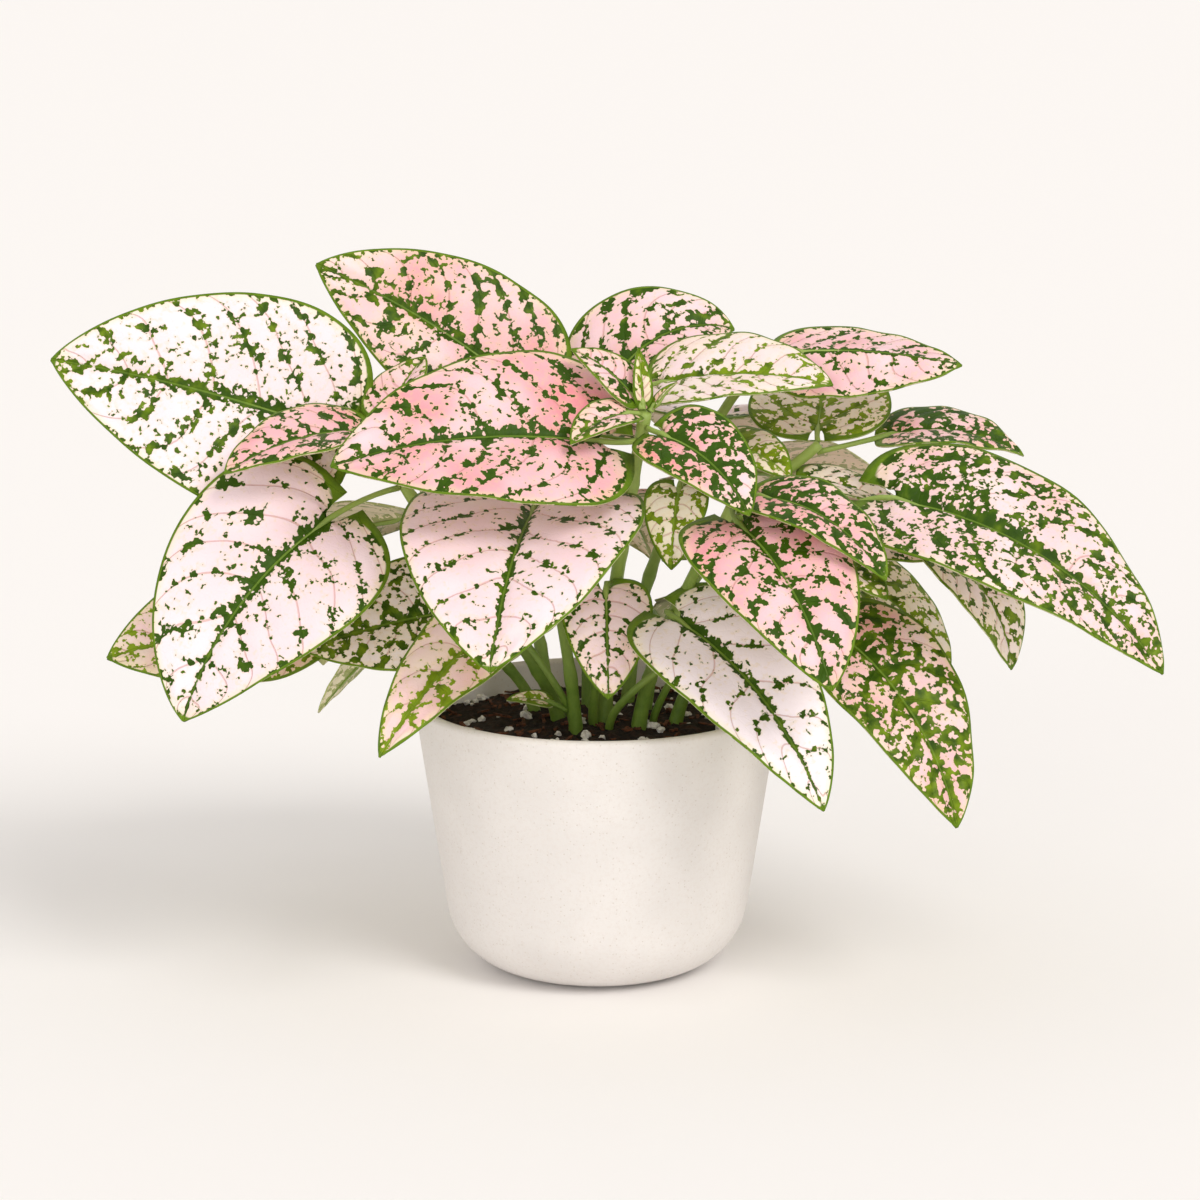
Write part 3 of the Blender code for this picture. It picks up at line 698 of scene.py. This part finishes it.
def leaf_piece(name, leaf, seed, tone, stalk, spine):
    """A leaf: its quilted blade, and the stalk that runs on under the blade as its midrib."""
    blade = Blade(leaf, spine, seed)
    shape = bmesh.new()
    small = leaf.length <= SMALL_LEAF
    rows, columns = (ROWS // 2, COLUMNS // 2) if small else (ROWS, COLUMNS)
    bmesh.ops.create_grid(shape, x_segments=columns, y_segments=rows, size=1)
    layers = {
        key: shape.verts.layers.float_vector.new(key)
        for key in ("leaf_place", "leaf_flat", "leaf_tone", "leaf_kind")
    }
    pink, cream, green, lime = tone
    for vertex in shape.verts:
        across, step = -vertex.co.x, (vertex.co.y + 1) / 2
        part = mix(step, 0.5 - 0.5 * math.cos(math.pi * step), 0.55)  # rows closer at the ends
        vertex.co = blade.place(across, part)
        vertex[layers["leaf_place"]] = (across, part, blade.vein(across, part))
        vertex[layers["leaf_flat"]] = blade.flat(across, part)
        vertex[layers["leaf_tone"]] = (pink, cream, green)
        vertex[layers["leaf_kind"]] = (seed * SEED_STRIDE, lime, leaf.length)
    top = list(shape.faces)
    bmesh.ops.recalc_face_normals(shape, faces=top)
    facing = blade.axes(0.5)[3]
    if sum(face.normal.dot(facing) for face in top) < 0:
        bmesh.ops.reverse_faces(shape, faces=top)
    bmesh.ops.solidify(shape, geom=top, thickness=LEAF_THICKNESS)
    for face in shape.faces:
        face.material_index = 0 if face.normal.dot(facing) > 0 else 1
    points = [place for place, _, _ in stalk]
    waists = [math.sin(math.pi * step / STALK_STEPS) for step in range(STALK_STEPS + 1)]
    radii = [STALK_WIDTH / 2 * (1.1 - 0.15 * waist) for waist in waists]
    for step in range(1, RIB_STEPS):
        part = step / RIB_STEPS
        point, _, _, face = blade.axes(part)
        radius = STALK_WIDTH / 2 * (1 - part) ** 0.8
        under = LEAF_THICKNESS - blade.relief(0, part) + radius * 0.3
        points.append(point - face * under)
        radii.append(radius)
    rib = welded_tube(points, radii, STALK_SIDES)
    for face in rib.faces:
        face.material_index = 2
    ribs = bpy.data.meshes.new("rib")
    rib.to_mesh(ribs)
    rib.free()
    shape.from_mesh(ribs)
    bpy.data.meshes.remove(ribs)
    return mesh_from(shape, name)


def make_leaves(skins):
    """Each leaf in place of its solid."""
    slots = {part["node"]: part["material_slot"] for part in frame["record"]["subparts"]}
    for index, (name, values) in enumerate(LEAVES.items()):
        leaf = Leaf(*values)
        stalk, spine = stalk_and_spine(leaf)
        mesh = leaf_piece(name + "_fine", leaf, index + 1.0, TONES[name], stalk, spine)
        ride_as(name + "_fine", mesh, slots[name], skins, name)


def make_young_leaves(skins):
    """The smallest leaves and buds, which have no solid of their own."""
    for index, (name, (tone, *values)) in enumerate(YOUNG_LEAVES.items()):
        leaf = Leaf(*values)
        stalk, spine = stalk_and_spine(leaf)
        mesh = leaf_piece(name, leaf, index + YOUNG_SEED, tone, stalk, spine)
        ride_as(name, mesh, "leaf_pale", skins)


def make_shoots(finish):
    """Thin side shoots between the stems, close over the soil."""
    for name, (radius, *points) in SHOOTS.items():
        route = smooth_route(points, STEM_RINGS)
        count = len(route)
        radii = [radius * (1 - SHOOT_TAPER * index / count) for index in range(count)]
        shape = welded_tube(route, radii, SHOOT_SIDES)
        ride_as(name, mesh_from(shape, name), "stem_green", [finish])


def make_stems(finish):
    """Each stem in place of its solid, swollen at its joints and flared at its foot."""
    for name, (radius, *points) in STEMS.items():
        route = smooth_route(points, STEM_RINGS)
        lengths = [0.0]
        for a, b in zip(route, route[1:]):
            lengths.append(lengths[-1] + (b - a).length)
        radii = []
        for length in lengths:
            part = length / lengths[-1]
            joint = math.exp(-(((length % JOINT_PITCH) - FIRST_JOINT) / JOINT_REACH) ** 2)
            foot = math.exp(-((length / FOOT_REACH) ** 2))
            swelling = 1 + JOINT_SWELLING * joint + FOOT_FLARE * foot
            radii.append(radius * (1 - STEM_TAPER * part) * swelling)
        shape = welded_tube(route, radii, STEM_SIDES)
        ride_as(name + "_fine", mesh_from(shape, name + "_fine"), "stem_green", [finish], name)


def arc(center, radius, first, last, steps):
    """Points (r, z) of an arc in the turning plane, with its end angles in degrees."""
    turns = [math.radians(mix(first, last, step / steps)) for step in range(steps + 1)]
    return [(center[0] + radius * math.cos(a), center[1] + radius * math.sin(a)) for a in turns]


def wall_radius(height):
    """The pot's outside radius at a height, had it no rounded corner."""
    return POT_RADIUS - (POT_HEIGHT - height) * math.tan(math.radians(POT_TAPER))


def wall_and_floor(inset, floor, top):
    """Points up a wall that lies inset from the pot's outside, from its flat floor to a height."""
    corner = POT_CORNER - inset
    lean = math.radians(POT_TAPER)
    center_z = floor + corner
    center_r = wall_radius(center_z) - (inset + corner) / math.cos(lean)
    rounding = arc((center_r, center_z), corner, -90, -POT_TAPER, 18)
    return [(0, floor)] + rounding + [(wall_radius(top) - inset / math.cos(lean), top)]


def make_pot(finish):
    """The pot, turned from its profile in place of its solid."""
    lip = POT_WALL / 2
    inside = wall_and_floor(POT_WALL, POT_FLOOR, POT_HEIGHT - lip)
    outside = wall_and_floor(0, 0, POT_HEIGHT - lip)
    rim = arc((outside[-1][0] - lip, POT_HEIGHT - lip), lip, 160, 20, 8)
    profile = outside + rim[::-1] + inside[::-1]
    shape = bmesh.new()
    verts = [shape.verts.new((r, 0, z)) for r, z in profile]
    edges = [shape.edges.new(pair) for pair in zip(verts, verts[1:])]
    bmesh.ops.spin(
        shape, geom=verts + edges, cent=(0, 0, 0), axis=(0, 0, 1),
        angle=math.tau, steps=POT_TURNS, use_merge=True,
    )
    mesh = mesh_from(welded(shape), "pot_fine")
    ride_as("pot_fine", mesh, "pot_ware", [finish], "pot")


def soil_height(radius):
    """The soil's top, mounded in the middle."""
    edge = wall_radius(SOIL_EDGE) - POT_WALL
    return SOIL_EDGE + SOIL_MOUND * (1 - (radius / edge) ** 2)


def soil_crumbs(x, y):
    """How far the soil's rough top rises above or dips below the mound."""
    lumps = noise.fractal(Vector((x, y, 3)) * 0.16, 0.9, 2.0, 3)
    crumbs = noise.fractal(Vector((x, y, 8)) * 0.55, 0.7, 2.0, 3)
    return 0.9 * lumps + 0.75 * crumbs


def make_soil(finish):
    """The soil in place of its solid: a crumbly top, and plain sides inside the pot's wall."""
    edge = wall_radius(SOIL_EDGE) - POT_WALL - GAP
    shape = bmesh.new()
    bmesh.ops.create_grid(shape, x_segments=SOIL_SPOKES, y_segments=SOIL_RINGS, size=1)
    for vertex in shape.verts:
        turn, radius = math.pi * vertex.co.x, edge * (vertex.co.y + 1) / 2
        x, y = radius * math.cos(turn), radius * math.sin(turn)
        vertex.co = (x, y, soil_height(radius) + soil_crumbs(x, y) - SOIL_SINK)
    bmesh.ops.remove_doubles(shape, verts=shape.verts, dist=0.01)
    bmesh.ops.dissolve_degenerate(shape, edges=shape.edges, dist=0.01)
    wall = wall_and_floor(POT_WALL + GAP, POT_FLOOR + GAP, SOIL_EDGE)[-2:0:-1]
    for radius, z in wall[::3]:
        rim = [e for e in shape.edges if e.is_boundary]
        made = bmesh.ops.extrude_edge_only(shape, edges=rim)["geom"]
        for vertex in (part for part in made if isinstance(part, bmesh.types.BMVert)):
            flat = Vector((vertex.co.x, vertex.co.y, 0)).normalized() * radius
            vertex.co = (flat.x, flat.y, z)
    bmesh.ops.holes_fill(shape, edges=[e for e in shape.edges if e.is_boundary], sides=0)
    bmesh.ops.recalc_face_normals(shape, faces=shape.faces)
    ride_as("soil_fine", mesh_from(shape, "soil_fine"), "potting_soil", [finish], "soil")


def free_spot(margin):
    """A place on the soil clear of the stems' feet."""
    feet = [Vector(points[1][:2]) for points in STEMS.values()]
    edge = wall_radius(SOIL_EDGE) - POT_WALL - margin
    while True:
        turn, radius = random.uniform(0, math.tau), edge * math.sqrt(random.random())
        spot = Vector((radius * math.cos(turn), radius * math.sin(turn)))
        if min((spot - foot).length for foot in feet) > FOOT_CLEARANCE:
            return spot


def scatter_bits(name, count, sizes, squash, rough, finish):
    """Many small irregular grains lying on the soil, as one piece."""
    shape = bmesh.new()
    for _ in range(count):
        spot = free_spot(3.0)
        size = random.uniform(*sizes) / 2
        top = soil_height(spot.length) + soil_crumbs(*spot) - SOIL_SINK + size * squash * 0.55
        made = bmesh.ops.create_icosphere(shape, subdivisions=2, radius=size)["verts"]
        seed = Vector((spot.x, spot.y, size * 9))
        for vertex in made:
            unit = vertex.co.normalized()
            vertex.co *= 1 + rough * noise.noise(unit * 1.6 + seed)
        stretch = Matrix.Diagonal((random.uniform(0.75, 1.3), 1, squash, 1))
        turn = Matrix.Rotation(random.uniform(0, math.tau), 4, "Z")
        tilt = Matrix.Rotation(random.uniform(-0.5, 0.5), 4, "X")
        place = Matrix.Translation((spot.x, spot.y, top))
        bmesh.ops.transform(shape, matrix=place @ tilt @ turn @ stretch, verts=made)
    ride_as(name, mesh_from(shape, name, smooth=False), "potting_soil", [finish])


def scatter_slivers(name, count, finish):
    """Bark slivers and fibres lying on the soil, as one piece."""
    shape = bmesh.new()
    for _ in range(count):
        spot = free_spot(3.5)
        top = soil_height(spot.length) + soil_crumbs(*spot) - 0.3
        made = bmesh.ops.create_cube(shape, size=1)["verts"]
        length = random.uniform(1.5, 5.0)
        for vertex in made:
            vertex.co.y += 0.35 * noise.noise(Vector((vertex.co.x * 3, spot.x, spot.y)))
        stretch = Matrix.Diagonal((length, random.uniform(0.5, 1.4), random.uniform(0.3, 0.8), 1))
        turn = Matrix.Rotation(random.uniform(0, math.tau), 4, "Z")
        tilt = Matrix.Rotation(random.uniform(-0.35, 0.35), 4, "Y")
        place = Matrix.Translation((spot.x, spot.y, top))
        bmesh.ops.transform(shape, matrix=place @ turn @ tilt @ stretch, verts=made)
    ride_as(name, mesh_from(shape, name, smooth=False), "potting_soil", [finish])


# The studio


def sun_light(name, from_place, strength, softness, color=(1, 1, 1)):
    """A distant soft lamp that shines from the given side, its softness in degrees."""
    lamp = bpy.data.lights.new(name, "SUN")
    lamp.energy, lamp.angle, lamp.color = strength, math.radians(softness), color
    holder = bpy.data.objects.new(name, lamp)
    holder.rotation_euler = (-Vector(from_place)).to_track_quat("-Z", "Y").to_euler()
    bpy.context.scene.collection.objects.link(holder)


def make_studio():
    """A pale floor, an even sky, a warm lamp from the right and a soft one from the front left."""
    bpy.context.scene.view_settings.view_transform = "Standard"
    shape = bmesh.new()
    bmesh.ops.create_grid(shape, x_segments=1, y_segments=1, size=30)
    floor = bpy.data.objects.new("floor", mesh_from(shape, "floor"))
    paper = Finish("pale_floor")
    floor.data.materials.append(paper.finish(shade(249, 246, 244), 0.9))
    bpy.context.scene.collection.objects.link(floor)
    world = bpy.data.worlds.new("studio")
    world.use_nodes = True
    sky = world.node_tree.nodes["Background"].inputs
    sky["Color"].default_value = shade(255, 252, 249)
    sky["Strength"].default_value = 0.73
    bpy.context.scene.world = world
    sun_light("key", (0.9, -1.15, 1.35), 1.25, 26, (1.0, 0.985, 0.96))
    sun_light("fill", (-0.4, -1.3, 0.2), 0.75, 50)


def make_camera():
    """A long lens in front of the plant, looking slightly down."""
    lens = bpy.data.cameras.new("camera")
    lens.lens, lens.sensor_width = CAMERA_LENS, CAMERA_SENSOR
    camera = bpy.data.objects.new("camera", lens)
    camera.location = CAMERA_PLACE
    camera.rotation_euler = (math.radians(90 - CAMERA_PITCH), 0, 0)
    bpy.context.scene.collection.objects.link(camera)
    bpy.context.scene.camera = camera


make_camera()
make_studio()
make_pot(ware_skin())
make_soil(soil_skin())
perlite = grain_skin("perlite_white", shade(196, 190, 182), shade(240, 237, 232), 0.8)
bark = grain_skin("bark_brown", shade(46, 26, 16), shade(112, 66, 40), 0.8)
scatter_bits("soil_perlite", PERLITE_COUNT, (0.8, 3.2), 0.75, 0.7, perlite)
scatter_slivers("soil_bark", BARK_COUNT, bark)
stalk_green = stalk_skin()
make_stems(stalk_green)
make_shoots(stalk_green)
leaf_skins = [leaf_skin("leaf_face", False), leaf_skin("leaf_underside", True), stalk_green]
make_leaves(leaf_skins)
make_young_leaves(leaf_skins)
